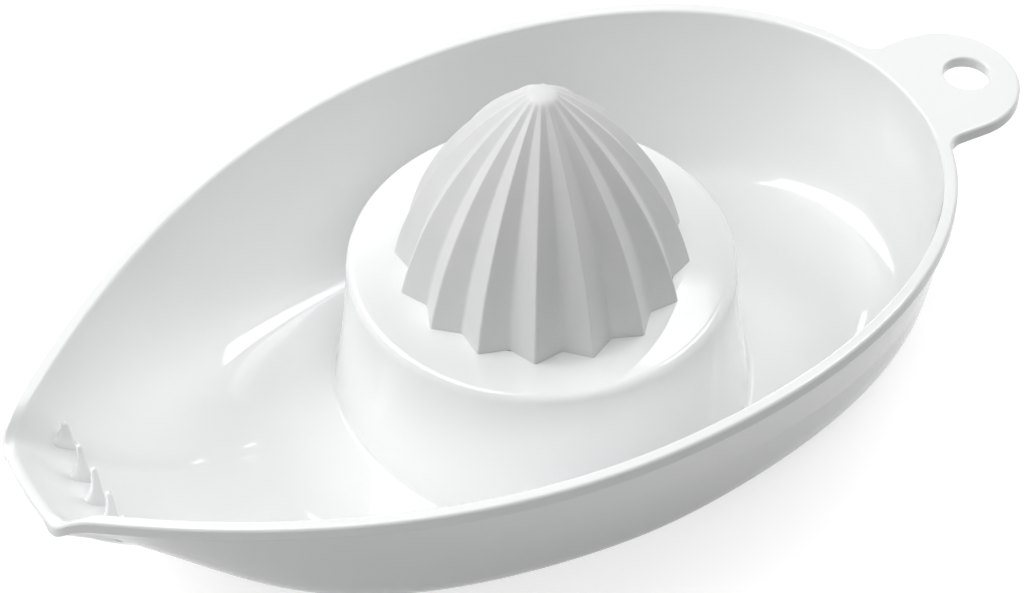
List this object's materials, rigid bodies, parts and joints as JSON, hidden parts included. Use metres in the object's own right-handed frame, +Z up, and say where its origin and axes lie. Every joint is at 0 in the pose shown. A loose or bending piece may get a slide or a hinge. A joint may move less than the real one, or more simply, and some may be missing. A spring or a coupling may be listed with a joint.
{
  "type": "citrus juicer",
  "caption": "Hand citrus juicer: a boat-shaped plastic dish with a pouring spout, pip teeth and hanging tab, and a fluted reamer snapped into its raised collar.",
  "frame": {"origin": "centre of the bounding box at the level that the dish stands on", "axes": "+X from the spout towards the hanging tab, +Z up along the reamer's axis, +Y to the left when looking along +X"},
  "size_m": [0.217, 0.1184, 0.0789],
  "materials": {
    "dish_gloss_white": "glossy injection-moulded white plastic",
    "reamer_satin_white": "finely textured satin white plastic"
  },
  "bodies": {
    "root": {"dish": "dish_gloss_white", "reamer": "reamer_satin_white"}
  },
  "joints": []
}
